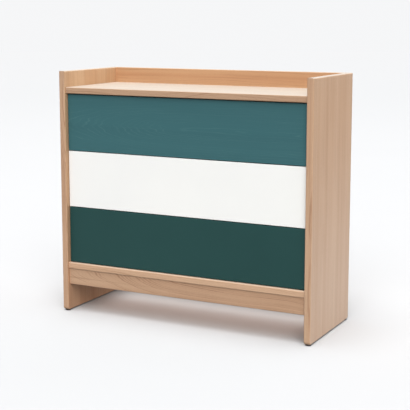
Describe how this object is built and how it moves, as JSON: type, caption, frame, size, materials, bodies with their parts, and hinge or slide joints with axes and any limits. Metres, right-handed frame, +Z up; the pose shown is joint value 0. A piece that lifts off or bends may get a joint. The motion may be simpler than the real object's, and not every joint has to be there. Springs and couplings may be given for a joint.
{
  "type": "chest of drawers",
  "caption": "Low wide chest with inset handle-less drawers on ball runners between full-height oak side panels that rise round a tray top.",
  "frame": {"origin": "on the floor under the middle of the chest", "axes": "+X to the right as seen from the front, the drawers open towards -Y, +Z up"},
  "size_m": [1, 0.38, 0.904],
  "materials": {
    "oak": "matt oiled oak veneer",
    "oak_back": "matt oak veneer",
    "beech": "matt lacquered beech",
    "plywood": "matt lacquered plywood",
    "petrol_stain": "matt petrol blue stained veneer",
    "white_lacquer": "matt white lacquer",
    "green_lacquer": "matt dark green lacquer",
    "steel": "zinc-plated steel",
    "zinc": "die-cast zinc",
    "dark_plastic": "dark brown plastic",
    "grey_plastic": "grey plastic"
  },
  "bodies": {
    "carcase": {"side_panel_left": "oak", "side_panel_right": "oak", "top_panel": "oak", "bottom_panel": "oak", "back_gallery": "oak", "front_plinth": "oak", "rear_rail": "oak", "back_panel": "oak_back", "carcase_dowels": "beech", "cam_housings": "zinc", "cam_bolts": "zinc", "back_screws": "steel", "runner_screws": "steel", "floor_glides": "dark_plastic", "push_units": "grey_plastic", "upper_runner_left_cabinet_rail": "steel", "upper_runner_right_cabinet_rail": "steel", "centre_runner_left_cabinet_rail": "steel", "centre_runner_right_cabinet_rail": "steel", "lower_runner_left_cabinet_rail": "steel", "lower_runner_right_cabinet_rail": "steel"},
    "upper_drawer": {"upper_drawer_front": "petrol_stain", "upper_drawer_sub_front": "beech", "upper_drawer_side_left": "beech", "upper_drawer_side_right": "beech", "upper_drawer_back": "beech", "upper_drawer_bottom": "plywood", "upper_drawer_screws": "steel", "upper_runner_left_drawer_rail": "steel", "upper_runner_right_drawer_rail": "steel"},
    "upper_middle_rails": {"upper_runner_left_middle_rail": "steel", "upper_runner_right_middle_rail": "steel"},
    "upper_outer_ball_cages": {"upper_runner_outer_cages": "steel"},
    "upper_inner_ball_cages": {"upper_runner_inner_cages": "steel"},
    "centre_drawer": {"centre_drawer_front": "white_lacquer", "centre_drawer_sub_front": "beech", "centre_drawer_side_left": "beech", "centre_drawer_side_right": "beech", "centre_drawer_back": "beech", "centre_drawer_bottom": "plywood", "centre_drawer_screws": "steel", "centre_runner_left_drawer_rail": "steel", "centre_runner_right_drawer_rail": "steel"},
    "centre_middle_rails": {"centre_runner_left_middle_rail": "steel", "centre_runner_right_middle_rail": "steel"},
    "centre_outer_ball_cages": {"centre_runner_outer_cages": "steel"},
    "centre_inner_ball_cages": {"centre_runner_inner_cages": "steel"},
    "lower_drawer": {"lower_drawer_front": "green_lacquer", "lower_drawer_sub_front": "beech", "lower_drawer_side_left": "beech", "lower_drawer_side_right": "beech", "lower_drawer_back": "beech", "lower_drawer_bottom": "plywood", "lower_drawer_screws": "steel", "lower_runner_left_drawer_rail": "steel", "lower_runner_right_drawer_rail": "steel"},
    "lower_middle_rails": {"lower_runner_left_middle_rail": "steel", "lower_runner_right_middle_rail": "steel"},
    "lower_outer_ball_cages": {"lower_runner_outer_cages": "steel"},
    "lower_inner_ball_cages": {"lower_runner_inner_cages": "steel"}
  },
  "joints": [
    {"name": "upper_drawer_slide", "type": "slide", "parent": "carcase", "child": "upper_drawer", "axis": [0, -1, 0], "range_m": [-0.003, 0.24]},
    {"name": "upper_middle_rail_slide", "type": "slide", "parent": "carcase", "child": "upper_middle_rails", "axis": [0, -1, 0], "range_m": [-0.0015, 0.12]},
    {"name": "upper_outer_ball_roll", "type": "slide", "parent": "carcase", "child": "upper_outer_ball_cages", "axis": [0, -1, 0], "range_m": [-0.00075, 0.06]},
    {"name": "upper_inner_ball_roll", "type": "slide", "parent": "carcase", "child": "upper_inner_ball_cages", "axis": [0, -1, 0], "range_m": [-0.00225, 0.18]},
    {"name": "centre_drawer_slide", "type": "slide", "parent": "carcase", "child": "centre_drawer", "axis": [0, -1, 0], "range_m": [-0.003, 0.24]},
    {"name": "centre_middle_rail_slide", "type": "slide", "parent": "carcase", "child": "centre_middle_rails", "axis": [0, -1, 0], "range_m": [-0.0015, 0.12]},
    {"name": "centre_outer_ball_roll", "type": "slide", "parent": "carcase", "child": "centre_outer_ball_cages", "axis": [0, -1, 0], "range_m": [-0.00075, 0.06]},
    {"name": "centre_inner_ball_roll", "type": "slide", "parent": "carcase", "child": "centre_inner_ball_cages", "axis": [0, -1, 0], "range_m": [-0.00225, 0.18]},
    {"name": "lower_drawer_slide", "type": "slide", "parent": "carcase", "child": "lower_drawer", "axis": [0, -1, 0], "range_m": [-0.003, 0.24]},
    {"name": "lower_middle_rail_slide", "type": "slide", "parent": "carcase", "child": "lower_middle_rails", "axis": [0, -1, 0], "range_m": [-0.0015, 0.12]},
    {"name": "lower_outer_ball_roll", "type": "slide", "parent": "carcase", "child": "lower_outer_ball_cages", "axis": [0, -1, 0], "range_m": [-0.00075, 0.06]},
    {"name": "lower_inner_ball_roll", "type": "slide", "parent": "carcase", "child": "lower_inner_ball_cages", "axis": [0, -1, 0], "range_m": [-0.00225, 0.18]}
  ],
  "couplings": [
    {"joint": "upper_middle_rail_slide", "follows": "upper_drawer_slide", "ratio": 0.5},
    {"joint": "upper_outer_ball_roll", "follows": "upper_drawer_slide", "ratio": 0.25},
    {"joint": "upper_inner_ball_roll", "follows": "upper_drawer_slide", "ratio": 0.75},
    {"joint": "centre_middle_rail_slide", "follows": "centre_drawer_slide", "ratio": 0.5},
    {"joint": "centre_outer_ball_roll", "follows": "centre_drawer_slide", "ratio": 0.25},
    {"joint": "centre_inner_ball_roll", "follows": "centre_drawer_slide", "ratio": 0.75},
    {"joint": "lower_middle_rail_slide", "follows": "lower_drawer_slide", "ratio": 0.5},
    {"joint": "lower_outer_ball_roll", "follows": "lower_drawer_slide", "ratio": 0.25},
    {"joint": "lower_inner_ball_roll", "follows": "lower_drawer_slide", "ratio": 0.75}
  ]
}
